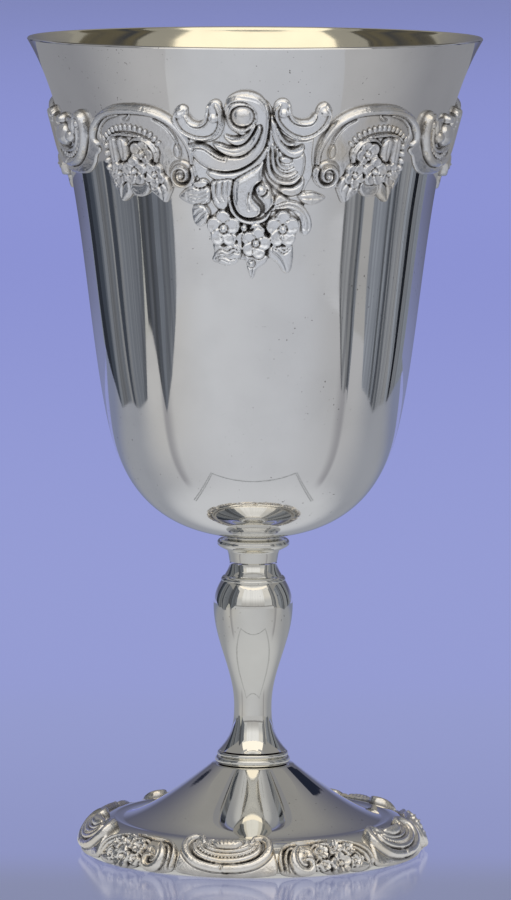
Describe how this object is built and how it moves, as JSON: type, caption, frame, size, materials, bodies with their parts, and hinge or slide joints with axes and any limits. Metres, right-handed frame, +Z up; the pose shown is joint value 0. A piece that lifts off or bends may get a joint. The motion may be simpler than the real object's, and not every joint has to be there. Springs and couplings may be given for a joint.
{
  "type": "goblet",
  "caption": "Footed silver goblet: tall flared bowl with cast scroll and shell border, baluster stem and domed foot with a matching border.",
  "frame": {"origin": "on the table, in the middle of the foot's resting face", "axes": "+Z up along the goblet's axis; the front cartouche faces -Y; +X to its right as seen"},
  "size_m": [0.094, 0.094, 0.17],
  "materials": {
    "polished_silver": "polished, with gilding inside the bowl",
    "cast_silver": "cast, polished on top and tarnished in the recesses"
  },
  "bodies": {
    "root": {"bowl": "polished_silver", "stem_collar": "polished_silver", "stem": "polished_silver", "stem_base_ring": "polished_silver", "foot_dome": "polished_silver", "front_cartouche": "cast_silver", "bowl_shell_1": "cast_silver", "bowl_shell_2": "cast_silver", "bowl_shell_3": "cast_silver", "bowl_shell_4": "cast_silver", "bowl_shell_5": "cast_silver", "bowl_lunette_1": "cast_silver", "bowl_lunette_2": "cast_silver", "bowl_lunette_3": "cast_silver", "bowl_lunette_4": "cast_silver", "foot_shell_1": "cast_silver", "foot_shell_2": "cast_silver", "foot_shell_3": "cast_silver", "foot_shell_4": "cast_silver", "foot_shell_5": "cast_silver", "foot_lunette_1": "cast_silver", "foot_lunette_2": "cast_silver", "foot_lunette_3": "cast_silver", "foot_lunette_4": "cast_silver", "foot_lunette_5": "cast_silver"}
  },
  "joints": []
}
